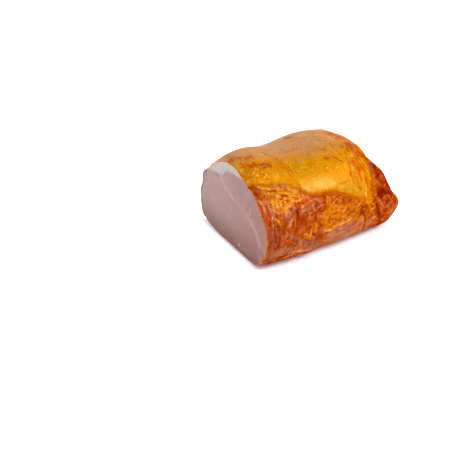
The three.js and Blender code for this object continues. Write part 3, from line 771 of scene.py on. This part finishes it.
def skinMasks(pmm, places):
    shiver = drift(pmm, "shiverAlong", "shiverAround")
    loose = places + straying["loose"] * drift(pmm, "wanderAlong", "wanderAround")
    loose += straying["looseShiver"] * shiver
    close = places + straying["closeShiver"] * shiver
    along, around = places.T
    patchy = field(pmm, "patchy")
    masks = patchMasks(pmm, places, loose, patchy)
    masks["fatness"] = fatMask(pmm, places, close, patchy)
    for name in ("knotty", "hoopwise", "rimFibre", "mottled"):
        masks[name] = zone(places, name)

    uneven = 0.85 + 0.5 * field(pmm, "uneven")
    gaps = drawn(close, "gaps") * uneven
    masks["lift"] = (drawn(close, "ridges") + 0.8 * drawn(close, "paleLines")) * uneven - gaps
    masks["creaseLine"] = np.maximum(drawn(close, "creases"), 0.7 * drawn(close, "cleft"))
    lipped = zone(places, "pastCrumple")
    shaded = zone(places, "shadedEdge") * (0.5 + 0.5 * lipped) * smoothStep(patchy + 1.2 * lipped, -0.1, 0.6)
    masks["lipShade"] = smoothStep(np.abs(insideFat(close) - 1.2), *maskEdges["lipShade"]) * shaded
    seam = bell(insideFat(places) / 2.2)
    masks["fold"] = np.max([masks["creaseLine"], masks["lipShade"], gaps, seam], axis=0)

    masks["spot"] = dabs(close, [(*spot, 1.0, 0.9) for spot in marks["fatSpots"]])
    shades = {
        "spot": masks["spot"],
        "dot": dabs(close, [(*dot, 1.2, 1.1) for dot in marks["fatDots"]]),
        "streak": drawn(close, "fatStreaks") * uneven,
        "brightStreak": drawn(close, "brightStreaks") * uneven,
        "stain": dabs(loose, marks["stains"]),
        # darker round the creases: painted shade
        "crease": strokes(loose, marks["creases"], lineReach["creaseShade"]),
        "hollow": dabs(close, marks["hollows"]),
        "lowSide": zone(places, "lowSide"),
    }
    for name, shade in shades.items():
        masks["tone"] += toneShifts[name] * shade

    masks["scratch"] = drawn(places, "scratch")
    for name, at in {"paintedGlint": close, "blemishPink": close, "blemishRed": places, "purple": loose}.items():
        masks[name] = dabs(at, marks[name])
    masks["crumpled"] = smoothStep(insideOf(loose, marks["crumple"]), *maskEdges["crumple"])
    # painted highlights on the fat
    insidePaintedGlow = np.max([insideOf(loose, area) for area in marks["paintedGlow"]], axis=0)
    masks["paintedGlow"] = smoothStep(insidePaintedGlow, *maskEdges["paintedGlow"])
    masks["paintedGlowWide"] = smoothStep(insideOf(loose, marks["paintedGlowWide"]), *maskEdges["paintedGlowWide"])
    # a pale painted sheen: the reflection of the bright backdrop on the far top of the fat
    beforeEnd = onLine(around, marks["paintedSheenEnd"]) - along
    paintedSheenDepth = np.minimum(onLine(along, marks["paintedSheenEdge"]) - around, beforeEnd)
    paintedSheenDepth += 3 * patchy + 5 * chartNoise(places, *chartFields["streaky"])
    masks["paintedSheen"] = smoothStep(paintedSheenDepth, *maskEdges["paintedSheen"]) * zone(places, "paintedSheenSide")
    masks["wrinkled"] = smoothStep(along - onLine(around, marks["wrinkleEdge"]), *maskEdges["wrinkled"])
    masks["edge"] = 1 - np.clip(along / 2.0, 0, 1)
    return masks


def cutMasks(pmm):
    face = pmm[:, 1:]
    across, up = face.T
    loose = face + straying["onCut"] * drift(pmm, "cutAcross", "cutUp")
    uneven = 0.8 + 0.6 * field(pmm, "cutUneven")
    fromRing = np.linalg.norm(face - cutMarks["ring"], axis=1) - cutMarks["ringRadius"]
    aboveLean = up - onLine(across, cutMarks["fatUnderside"][::-1]) + 0.9 * field(pmm, "cutFatEdge")
    softness = 0.9 + 1.6 * bell((across - 18) / 8)
    return {
        **{name: drawn(loose, name, cutMarks) for name in ("seamBand", "mauveBand", "crust")},
        "cutStreak": drawn(loose, "streaks", cutMarks) * uneven,
        "darkLine": drawn(face, "darkLines", cutMarks),
        "ring": bell(fromRing / cutMarks["ringWidth"]) * uneven,
        "rosy": dabs(loose, cutMarks["rosy"]),
        "glint": dabs(face, cutMarks["glint"]),
        "pit": dabs(face, cutMarks["pit"]),
        "cutFat": smoothStep(aboveLean / softness, -1, 1),
        # flush: darker and redder towards the near side, partly the meat's own tone, partly painted shade;
        # low: painted shade, darker towards the bottom
        "flush": smoothStep(-across, -30, 45),
        "low": smoothStep(up, 34, 4),
    }


def rimMasks(pmm, inset, crust):  # a thin rind round the cut, and wider bark on its far side
    far = smoothStep(pmm[:, 1], 10, 30) * smoothStep(pmm[:, 2], 1, 6)
    return {
        "rimLine": np.maximum(np.clip(1 - inset / 1.2, 0, 1) * (1 - far), crust),
        "barkLine": np.clip(2.2 - inset / 1.6, 0, 1) * far,
    }


def relief(pmm, places, masks):  # mm that the skin stands out
    everywhere = {
        "lift": masks["lift"],
        "paintedGlint": masks["paintedGlint"],
        "spot": masks["spot"],
        "crease": -smoothStep(masks["creaseLine"], 0.1, 1.0),
        "rimFibre": masks["rimFibre"] * chartNoise(places, *chartFields["fibres"]),
    }
    onLean = {name: field(pmm, name) for name in ("lumps", "pimples")}
    onFat = {
        "waves": field(pmm, "waves"),
        "lip": bell((insideFat(places) - 5) / 3) * zone(places, "lip"),
        "scratch": -masks["scratch"],
        "dark": -np.clip(-masks["tone"], 0, 0.6),
        "wrinkles": masks["wrinkled"] * chartNoise(places, *chartFields["wrinkles"]),
        "mottles": masks["mottled"] * field(pmm, "mottles"),
    }
    fatness = masks["fatness"]
    height = np.zeros(len(places))
    for share, forms in ((1, everywhere), (1 - fatness, onLean), (fatness, onFat)):
        for name, form in forms.items():
            height += share * reliefHeights[name] * form
    for along, around, reachAlong, reachAround, rise in swellings:
        height += rise * dabs(places, [(along, around, reachAlong, reachAround)])
    return height


def gather(obj):
    count = len(obj.data.vertices)
    points, normals = np.empty(count * 3), np.empty(count * 3)
    obj.data.vertices.foreach_get("co", points)
    obj.data.vertices.foreach_get("normal", normals)
    return points.reshape(-1, 3), normals.reshape(-1, 3)


def awayFromAxis(points):
    outward = np.stack([np.zeros(len(points)), points[:, 1], points[:, 2] - axisHeight * mm], axis=1)
    return outward / np.linalg.norm(outward, axis=1)[:, None]


leastFacing = {"fine": -0.2, "raised": 0.25, "seam": 0.1}  # how squarely a place faces away from the axis


def isOnCut(points):
    return points[:, 0] < hamLow.x + cutTolerance * mm


@contextmanager
def editing(mesh):  # opens a mesh and writes it back
    shape = bmesh.new()
    shape.from_mesh(mesh)
    yield shape
    shape.to_mesh(mesh)
    shape.free()


def iron(shape, verts, lengthwise=True):  # moves them towards their neighbours
    bmesh.ops.smooth_vert(
        shape, verts=verts, factor=0.5, use_axis_x=lengthwise, use_axis_y=True, use_axis_z=True
    )


def smoothed(shape, voxel, rounds):  # irons out the voxels and keeps the cut flat
    cutAt = hamLow.x + 0.4 * voxel * mm
    onCut = [v for v in shape.verts if v.co.x < cutAt]
    offCut = [v for v in shape.verts if v.co.x >= cutAt]
    for v in onCut:
        v.co.x = hamLow.x
    for _ in range(rounds):
        iron(shape, offCut)
        iron(shape, onCut, lengthwise=False)


def remeshed(nodeName, pieceName, look):
    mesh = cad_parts[nodeName].data.copy()
    mesh.materials.clear()
    piece = bpy.data.objects.new(pieceName, mesh)
    bpy.context.scene.collection.objects.link(piece)
    with editing(mesh) as shape:
        bmesh.ops.remove_doubles(shape, verts=shape.verts, dist=1e-6)
    remesh = piece.modifiers.new("remesh", "REMESH")
    remesh.mode = "VOXEL"
    remesh.voxel_size = look["voxel"] * mm
    depsgraph = bpy.context.evaluated_depsgraph_get()
    piece.data = bpy.data.meshes.new_from_object(piece.evaluated_get(depsgraph))
    piece.data.name = pieceName
    piece.modifiers.clear()

    with editing(piece.data) as shape:
        smoothed(shape, look["voxel"], look["smoothing"])
        points = np.array([v.co for v in shape.verts])
        shape.normal_update()
        facing = (awayFromAxis(points) * np.array([v.normal for v in shape.verts])).sum(axis=1)
        wanted = look["fineWhere"](skinPlaces(points)) & (facing > leastFacing["fine"])
        edges = [e for e in shape.edges if all(wanted[v.index] for v in e.verts)]
        bmesh.ops.subdivide_edges(shape, edges=edges, cuts=1, use_grid_fill=True)
        smoothed(shape, look["voxel"], look["fineSmoothing"])
    return piece


def triangleCount(piece):
    return sum(len(polygon.vertices) - 2 for polygon in piece.data.polygons)


def nodeTree(name):
    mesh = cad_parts[name].data
    corners = [v.co for v in mesh.vertices]
    return BVHTree.FromPolygons(corners, [tuple(p.vertices) for p in mesh.polygons])


rimTurns = np.arange(0, 360, 2)  # degrees
rimReach = 100 * mm


def measureRim():  # mm from the axis to the skin just behind the cut, at each turn
    trees = [nodeTree(name) for name in ("lean", "fat_cap")]
    middle = Vector((hamLow.x + 0.5 * mm, 0, axisHeight * mm))
    rim = []
    for turn in np.radians(rimTurns):
        outward = Vector((0, math.sin(turn), math.cos(turn)))
        hits = [tree.ray_cast(middle + outward * rimReach, -outward, rimReach)[3] for tree in trees]
        rim.append((rimReach - min(hit for hit in hits if hit is not None)) / mm)
    return rim


rimRadii = measureRim()
rimSoftening = 0.7  # mm that smoothing takes off the rim
rimShifts = [  # degrees round, mm outward, right at the cut
    (-139, 0), (-134, -1.2), (-129, -0.7), (-124, 0.7), (-121.5, 1), (-120, 3.6), (-118, 4), (-113, 3.5),
    (-107, 1.8), (-101, 1.7), (-96, 0.8), (-90, 0.3), (-84, -0.5), (-79, -2), (-73, -2), (-67, 0.7),
    (-62, 0.5), (-56, -0.2), (-51, -0.8), (-46, -1.5), (-41, -0.8), (-36, -1.2), (-31, -2), (-27, -2.7),
    (-18, -3), (-13, -2.5), (-9, -2), (-4, -2.3), (4, -1.6), (9, -2.5), (13, -3.5), (18, -3.5), (22, -2.7),
    (27, -1.4), (31, 0.6), (36, 0.5), (46, 0), (56, -0.5), (62, -0.2), (67, 0.5), (73, 1.2), (79, 1),
    (90, 0.2), (101, -0.7), (118, -1.6), (126, -1.6), (135, 0),
]


def cutInset(points):  # mm from the rim of the cut, for points on it
    across = points[:, 1] / mm
    up = points[:, 2] / mm - axisHeight
    rim = np.interp(np.degrees(np.arctan2(across, up)), rimTurns, rimRadii, period=360)
    return rim - rimSoftening - np.hypot(across, up)


def shiftRim(points):
    along, around = skinPlaces(points).T
    inset = np.where(along < 0.3, cutInset(points), 0)
    share = smoothStep(along, 10, 0) * smoothStep(inset, 9, 0)
    points += awayFromAxis(points) * (onLine(around, rimShifts) * share * mm)[:, None]


def fillBed(piece, bed):  # raises the rim of the bed to just under the fat's skin, and irons it
    cover = nodeTree("fat_cap")
    points, normals = gather(piece)
    places = skinPlaces(points)
    outward = awayFromAxis(points)
    facing = (outward * normals).sum(axis=1)
    inside = insideFat(places)
    lip = zone(places, "lip")
    flush = bed["flushSink"] * smoothStep(inside, *bed["flushFrom"])
    sink = flush + (bed["lipSink"] - flush) * lip
    falling = smoothStep(inside - bed["fallsLater"] * (1 - lip), *bed["falls"])
    low, high = bed["raised"]
    for i in np.nonzero((inside > low) & (inside < high) & (facing > leastFacing["raised"]))[0]:
        start = Vector(points[i] + outward[i] * bed["reach"])
        hit, _, _, distance = cover.ray_cast(start, Vector(-outward[i]), bed["reach"])
        if hit is not None:
            depth = bed["reach"] - distance
            points[i] += outward[i] * max(0, depth - max(sink[i] * mm, depth * falling[i]))
    piece.data.vertices.foreach_set("co", points.ravel())
    low, high = bed["seam"]
    seam = (inside > low) & (inside < high) & (facing > leastFacing["seam"]) & ~isOnCut(points)
    with editing(piece.data) as shape:
        verts = [v for v, near in zip(shape.verts, seam) if near]
        for _ in range(bed["seamRounds"]):
            iron(shape, verts)


# grows the hidden side of the fat into the lean, sinks its thin edges, and says how hidden each place is
def growIn(points, normals, places, onCut, height, look):
    outward = awayFromAxis(points)
    facing = (outward * normals).sum(axis=1)
    sideways = np.sqrt(np.clip(1 - normals[:, 0] ** 2, 0.09, 1))
    hidden = smoothStep(facing / sideways, *look["hidden"])
    tucked = look["overlap"] * np.where(onCut, smoothStep(-facing, *look["tucked"]), 0)
    points -= outward * (tucked * mm)[:, None]
    points[onCut, 0] -= look["cutProud"] * mm
    inside = insideFat(places)
    lip = zone(places, "lip")
    feather = look["lipFeather"] * lip * smoothStep(inside, *look["lipSinks"])
    feather += (1 - lip) * smoothStep(inside, *look["sinks"])
    height *= 1 - hidden
    height += np.where(onCut, 0, look["overlap"] * hidden - look["featherSink"] * feather * (1 - hidden))
    return hidden


def storeMasks(mesh, masks, places):
    for name, values in masks.items():
        attribute = mesh.attributes.new(name, "FLOAT", "POINT")
        attribute.data.foreach_set("value", values.astype(np.float32))
    skinPlace = mesh.attributes.new("skinPlace", "FLOAT_VECTOR", "POINT")
    flat = np.column_stack([places * mm, np.zeros(len(places))])
    skinPlace.data.foreach_set("vector", flat.astype(np.float32).ravel())


rimRelief = 0.35  # the share of the relief that is left at the cut
covered = 0.9  # how hidden a face is before it takes the finish of the cut
nearTable = {  # mm
    "relief": (0.3, 4),  # above the table, from where there is none to where there is all
    "swayUp": (18, 8),
    "swayAcross": (30, 45),  # towards the near side
}


def dress(piece, look, skin, cut):
    mesh = piece.data
    points, normals = gather(piece)
    onCut = isOnCut(points)
    inset = cutInset(points)
    shiftRim(points)
    pmm = points / mm
    places = skinPlaces(points)
    masks = {**skinMasks(pmm, places), **cutMasks(pmm)}
    masks.update(rimMasks(pmm, inset, masks["crust"]))
    masks["tailCap"] = smoothStep(normals[:, 0], 0.6, 0.85)
    settled = rimRelief + (1 - rimRelief) * zone(places, "behindRim")
    settled *= smoothStep(pmm[:, 2], *nearTable["relief"])
    height = relief(pmm, places, masks) * np.where(onCut, 0, settled)
    if "overlap" in look:
        hidden = growIn(points, normals, places, onCut, height, look)
    else:
        hidden = smoothStep(insideFat(places), *look["hidden"])
    points += normals * (height * mm)[:, None]
    swaying = smoothStep(-pmm[:, 1], *nearTable["swayAcross"]) * smoothStep(pmm[:, 2], *nearTable["swayUp"])
    points[:, 1] -= onLine(places[:, 0], footSway) * swaying * mm
    points[:, 0] = np.maximum(points[:, 0], hamLow.x - look["cutProud"] * mm)
    mesh.vertices.foreach_set("co", points.ravel())
    mesh.update()

    storeMasks(mesh, masks, places)
    mesh.materials.append(skin)
    mesh.materials.append(cut)
    hidden *= zone(places, "ontoCut")
    for polygon in mesh.polygons:
        corners = list(polygon.vertices)
        flat = onCut[corners].all()
        polygon.use_smooth = not flat
        if flat or hidden[corners].min() > covered:
            polygon.material_index = 1


skinColours = painted({  # ramps run from dark to light
    "lean": [(134, 30, 0), (164, 50, 2), (186, 78, 16), (204, 108, 52), (226, 150, 104)],
    "golden": [(178, 68, 0), (204, 98, 6), (223, 127, 16), (233, 149, 42), (244, 175, 80)],
    "pinkish": [(160, 50, 10), (186, 76, 30), (200, 98, 54), (214, 128, 88), (232, 164, 130)],
    "mauve": [(138, 60, 35), (159, 79, 49), (177, 97, 62), (191, 117, 83), (208, 143, 110)],
    "fat": [(202, 84, 0), (218, 112, 0), (228, 141, 0), (233, 158, 14), (246, 187, 82)],
    # pale colours of the painted sheen on the fat
    "paintedSheen": [(166, 96, 50), (190, 124, 74), (205, 145, 100), (213, 163, 127), (222, 184, 157)],
    # paler colours of the painted highlight on the fat
    "paintedGlow": [(218, 143, 4), (228, 161, 26), (236, 176, 56), (243, 189, 86), (248, 203, 120)],
    # pale colour of the painted glints
    "paintedGlint": (234, 182, 134),
    # dark brown of the painted shade in the creases, also the scratch's colour
    "crease": (138, 42, 0),
    "lipShade": (210, 88, 2),
    "edge": (228, 122, 34),
    "purple": (168, 84, 60),
    "blemishRed": (176, 64, 20),
    "blemishPink": (214, 120, 84),
    "spot": (242, 186, 92),
})

gloss = {
    "leanSkin": {
        "specular": 0.0, "metallic": 0.12, "tint": (1, 0.5, 0.2, 1), "roughness": 0.36, "translucence": 0.0,
    },
    "fatSkin": {
        "specular": 0.02, "metallic": 0.08, "tint": (1, 0.7, 0.35, 1), "roughness": 0.34, "translucence": 0.1,
    },
}


def makeSkinFinish(name):
    g = Graph(name)
    mark = g.mark
    c = skinColours
    swirled = g.warped(mark("skinPlace", "Vector"), 6, 2.0)
    broad = g.noise(14, 3) - 0.5
    mottle = g.noise(4.5, 3, 0.6) - 0.5
    fine = g.noise(2.2, 3, 0.65) - 0.5
    grit = g.noise(1.1, 2, 0.6) - 0.5
    slant = g.noise((8, 2.2, 8), 3, 0.6, swirled, turn=-17) - 0.5
    rims = g.noise((2.2, 14, 14), 2, 0.6, swirled, turn=4) - 0.5
    hoops = g.noise((2.4, 8, 8), 3, 0.6, swirled, turn=-10) - 0.5
    smears = g.noise((3.2, 11, 11), 2, 0.5, swirled, turn=6) - 0.5
    capGrain = g.noise((8, 7, 2.6), 3, 0.6) - 0.5
    broken = fine + grit * 0.8
    tone = mark("tone")

    flow = slant * (1 - mark("hoopwise")) + smears * mark("hoopwise")
    flow = flow * (1 - mark("tailCap")) + capGrain * mark("tailCap")
    fibres = flow * (1 - mark("rimFibre")) + rims * mark("rimFibre")
    threads = 1 - abs(g.noise((14, 5, 5), 2, 0.5, swirled) - 0.5) * 13
    threads = threads.most(1 - abs(g.noise((9, 4, 4), 1, 0.5) - 0.5) * 11).most(0)
    net = mark("crumpled") * (threads * 0.4 - 0.18)
    knots = mark("knotty") * (mottle + flow * 0.6)
    busy = 0.35 + mark("golden") * 0.15
    grain = (fine * 1.3 + grit * 0.7) * busy
    meat = 0.52 + tone + fibres * 1.2 + mottle * 0.6 + grain * 0.8 + broad * 0.8 + knots
    meat = meat + mark("lift") * (0.4 + broken)
    film = 0.49 + tone + flow * 0.7 + mottle * 0.6 + grain * 0.5 + mark("lift") * (0.34 + broken) + net
    gilt = mark("golden") + broken * 0.4 + mottle * 0.6 + net
    gilt = gilt + flow * (2.0 - mark("golden") * 0.8 - mark("crumpled") * 0.9)
    lean = g.layered(g.ramp(meat, c["lean"]), [
        ((mark("pinkish") + broken * 0.8).between(0.1, 0.9), g.ramp(meat, c["pinkish"])),
        ((mark("mauve") + broken * 0.8).between(0.1, 0.9), g.ramp(meat, c["mauve"])),
        (gilt.between(0.05, 1.1), g.ramp(film, c["golden"])),
    ])

    rough = mark("wrinkled") * (hoops * 1.8 - 0.06) + mark("mottled") * (mottle + fine)
    rind = 0.6 + tone + slant * 0.5 + mottle * 0.5 + fine * 0.6 + grit * 0.4 + broad * 0.5 + rough
    fat = g.layered(g.ramp(rind, c["fat"]), [
        # painted highlights, broad and small
        (mark("paintedGlowWide") * 0.48, g.ramp(rind - 0.1, c["paintedGlow"])),
        (mark("paintedGlow") * 0.68, g.ramp(rind + 0.1, c["paintedGlow"])),
        # painted sheen
        (mark("paintedSheen") * 0.7, g.ramp(rind, c["paintedSheen"])),
        (mark("purple") * 0.7, c["purple"]),
        ((mark("spot") + broken).between(0.4, 0.9) * 0.45, c["spot"]),
        ((mark("blemishRed") + broken * 0.5).between(0.3, 1.0) * 0.85, c["blemishRed"]),
        ((mark("blemishPink") + broken * 0.3).between(0.4, 0.9) * 0.7, c["blemishPink"]),
        ((mark("scratch") + broken * 0.4).between(0.3, 0.8) * 0.6, c["crease"]),
    ])

    # painted glints of wet shine, more of them on the crumpled skin
    paintedGlints = (mark("paintedGlint") + broken * 0.6).between(0.3, 0.95)
    colour = g.layered(lean, [
        (mark("fatness"), fat),
        (mark("lipShade") * 0.75, c["lipShade"]),
        (paintedGlints * (0.25 + mark("crumpled") * 0.4), c["paintedGlint"]),
        # the creases painted darker: painted shade over their dents
        ((mark("creaseLine") + broken * 0.9).between(0.2, 0.9) * 0.6, c["crease"]),
        ((mark("edge") + broken * 0.5).between(0.35, 0.8) * 0.8, c["edge"]),
    ])

    look = gloss[name]
    relief = g.bump(fine * busy + flow * 0.5, 0.6, 0.8)
    relief = g.bump(grit, 0.2, 0.5, relief)
    g.set(
        Base_Color=colour,
        Roughness=look["roughness"] + grit * 0.2,
        Normal=relief,
        Metallic=(1 - mark("fold").most(mark("wrinkled") * 0.6)) * look["metallic"],
        Specular_IOR_Level=look["specular"],
        Specular_Tint=look["tint"],
        Subsurface_Weight=look["translucence"],
        Subsurface_Scale=0.0012,
        Subsurface_Radius=(1.0, 0.4, 0.15),
    )
    return g.material


cutColours = painted({  # with the light on that part of the cut
    "lean": (180, 142, 135, 1.64),
    # flush is partly the meat's redder tone, partly painted shade; low is painted shade at the bottom of the
    # cut
    "flush": (172, 115, 106, 1.64),
    "mauve": (164, 121, 125, 1.5),
    "pale": (194, 160, 150, 1.64),
    "dusky": (160, 118, 111, 1.64),
    "low": (143, 82, 67, 1.85),
    "streak": (212, 188, 174, 1.62),
    "fat": (209, 196, 187, 1.7),
    "fatDim": (196, 176, 168, 1.7),
    "dark": (136, 90, 84, 1.2),
    "pit": (105, 55, 48, 1.2),
    "rosy": (188, 128, 124, 1.15),
    "glint": (235, 230, 225, 1.2),
    "rind": (206, 132, 66, 1.3),
    "bark": (132, 84, 58, 1.4),
    "tan": (204, 160, 122, 1.3),
})


def makeCutFinish():
    g = Graph("freshCut")
    mark = g.mark
    c = cutColours
    broad = g.noise(16, 2) - 0.5
    cloud = g.noise(5, 3, 0.6) - 0.5
    fine = g.noise(2.0, 4, 0.65) - 0.5
    grain = g.noise(0.9, 3, 0.6) - 0.5
    upright = g.noise((3, 2.2, 14), 3, 0.6) - 0.5
    broken = fine * 0.7 + grain * 0.6
    lean = g.layered(c["lean"], [
        # painted shade towards the near side and the bottom of the cut
        (mark("flush"), c["flush"]),
        (mark("low") * 0.8, c["low"]),
        (mark("mauveBand").between(0.1, 1.0) * 0.7, c["mauve"]),
        ((broad + cloud * 0.8).between(0.0, 0.3) * 0.3, c["pale"]),
        ((cloud + fine * 0.6).between(0.0, -0.3) * 0.5, c["dusky"]),
        (grain.between(0.05, 0.35) * 0.35, c["pale"]),
        ((mark("seamBand") + fine * 1.2).between(0.1, 1.0) * 0.45, c["pale"]),
        (mark("rosy") * 0.4, c["rosy"]),
        ((mark("cutStreak") + broken * 1.5).between(0.15, 1.0) * 0.65, c["streak"]),
        ((mark("ring") + broken * 1.2).between(0.3, 1.0) * 0.55, c["streak"]),
    ])
    fat = g.mix((cloud + upright * 1.2).between(-0.1, 0.35) * 0.8, c["fat"], c["fatDim"])
    bark = g.mix(mark("cutFat"), c["bark"], c["tan"])
    colour = g.layered(lean, [
        (mark("cutFat"), fat),
        ((mark("rimLine") + fine * 0.4).between(0.3, 1.0) * 0.7, c["rind"]),
        ((mark("barkLine") + fine * 1.2).between(0.2, 0.9) * 0.85, bark),
        ((mark("darkLine") + broken * 0.6).between(0.1, 0.8) * 0.8, c["dark"]),
        (mark("pit").between(0.2, 1.2) * 0.85, c["pit"]),
        (mark("glint").between(0.3, 0.7), c["glint"]),
    ])
    relief = g.bump(fine, 0.25, 0.6)
    relief = g.bump(grain, 0.12, 0.5, relief)
    g.set(
        Base_Color=colour,
        Roughness=0.48 + grain * 0.2,
        Normal=relief,
        Specular_IOR_Level=0.3,
        Subsurface_Weight=0.1,
        Subsurface_Scale=0.002,
        Subsurface_Radius=(1.0, 0.5, 0.4),
    )
    return g.material


leanSkin = makeSkinFinish("leanSkin")
fatSkin = makeSkinFinish("fatSkin")
freshCut = makeCutFinish()
print("finishes ready")


def fineOnLean(places):  # the rim of the cut, and the near side up to the fat
    along, around = places.T
    return (along < 3) | ((insideFat(places) < 3) & (around > 12) & (around < 128))


leanLook = {
    "voxel": 1.3,
    "smoothing": 4,
    "fineSmoothing": 3,
    "fineWhere": fineOnLean,
    "hidden": (7, 8),  # mm inside the fat's outline, from where the skin shows to where the fat is over it
    "cutProud": 0,
    "bed": {  # its places in mm inside the fat's outline
        "raised": (-4, 10),
        "falls": (3, 7),  # from the raised rim down to the bed
        "fallsLater": 3,  # the same away from the lip
        "flushFrom": (4, 8),
        "flushSink": 0.3,  # mm under the fat's skin behind its feathered edges
        "lipSink": 0.15,  # the same under its lip
        "seam": (-3, 6),
        "seamRounds": 6,
        "reach": 30 * mm,
    },
}
leanPiece = remeshed("lean", "leanMeat", leanLook)
fillBed(leanPiece, leanLook["bed"])
dress(leanPiece, leanLook, leanSkin, freshCut)
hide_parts("lean")
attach(leanPiece, "root")
print("lean meat", triangleCount(leanPiece), "triangles")


def fineOnFat(places):  # all of it but the far side
    return places[:, 1] > -30


fatLook = {
    "voxel": 1.0,
    "smoothing": 4,
    "fineSmoothing": 3,
    "fineWhere": fineOnFat,
    "cutProud": 0.03,  # mm that its cut stands ahead of the lean's
    "hidden": (0.65, 0.05),  # how squarely it faces outward, from where it shows to where it is hidden
    "overlap": 1.3,  # mm that the hidden side grows into the lean
    "tucked": (0.05, 0.3),  # how squarely the rim of its cut faces inward, where it grows too
    "featherSink": 1.0,  # mm that the thin edges dip into the lean
    "sinks": (6, 2),  # mm inside the outline, from where they are level to where they are sunk
    "lipSinks": (4.5, 1),
    "lipFeather": 0.42,
}
fatPiece = remeshed("fat_cap", "fatLayer", fatLook)
dress(fatPiece, fatLook, fatSkin, freshCut)
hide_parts("fat_cap")
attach(fatPiece, "root")
print("fat layer", triangleCount(fatPiece), "triangles")

# the table glows though it is no lamp: white away from the ham, dim and purplish right by its foot, a painted
# contact shadow
tableLook = {
    "colour": (0.82, 0.825, 0.86),
    "roughness": 0.8,
    "paintedGlow": 0.78,
    "glowColour": (0.97, 1.0, 1.0),
    "paintedShadowColour": (0.085, 0.06, 0.08),
    "footHeight": 6,  # mm
    # the painted contact shadow is full within glowFrom of the foot and gone by glowFullAt
    "glowFrom": 0.5,  # mm from the foot
    "glowFullAt": 5,
    "cells": 140,
    "halfSide": 0.16,  # metres
    "fineShare": 0.9,  # of the cells, past which they spread far out
    "spread": 28,
}


# the glow fades into the painted contact shadow round the ham's foot
def makeTable(pieces, look):  # finely divided round the ham, where its glow fades
    lowest = [p for piece in pieces for p in gather(piece)[0] if p[2] < look["footHeight"] * mm]
    foot = KDTree(len(lowest))
    for i, point in enumerate(lowest):
        foot.insert((point[0], point[1], 0), i)
    foot.balance()
    mesh = bpy.data.meshes.new("table")
    paintedShadowShare = []
    with editing(mesh) as plate:
        bmesh.ops.create_grid(plate, x_segments=look["cells"], y_segments=look["cells"], size=1)
        for v in plate.verts:
            for axis in (0, 1):
                place = v.co[axis]
                outer = max(0, abs(place) - look["fineShare"]) * look["spread"]
                v.co[axis] = look["halfSide"] * place + math.copysign(outer, place)
            away = foot.find(v.co)[2] / mm
            paintedShadowShare.append(smoothStep(away, look["glowFullAt"], look["glowFrom"]))
    attribute = mesh.attributes.new("paintedShadowShare", "FLOAT", "POINT")
    attribute.data.foreach_set("value", np.array(paintedShadowShare, np.float32))
    table = bpy.data.objects.new("table", mesh)
    bpy.context.scene.collection.objects.link(table)
    g = Graph("tableWhite")
    g.set(
        Base_Color=look["colour"],
        Roughness=look["roughness"],
        Emission_Color=g.mix(g.mark("paintedShadowShare"), look["glowColour"], look["paintedShadowColour"]),
        Emission_Strength=look["paintedGlow"],
    )
    mesh.materials.append(g.material)


makeTable([leanPiece, fatPiece], tableLook)
print("table ready")
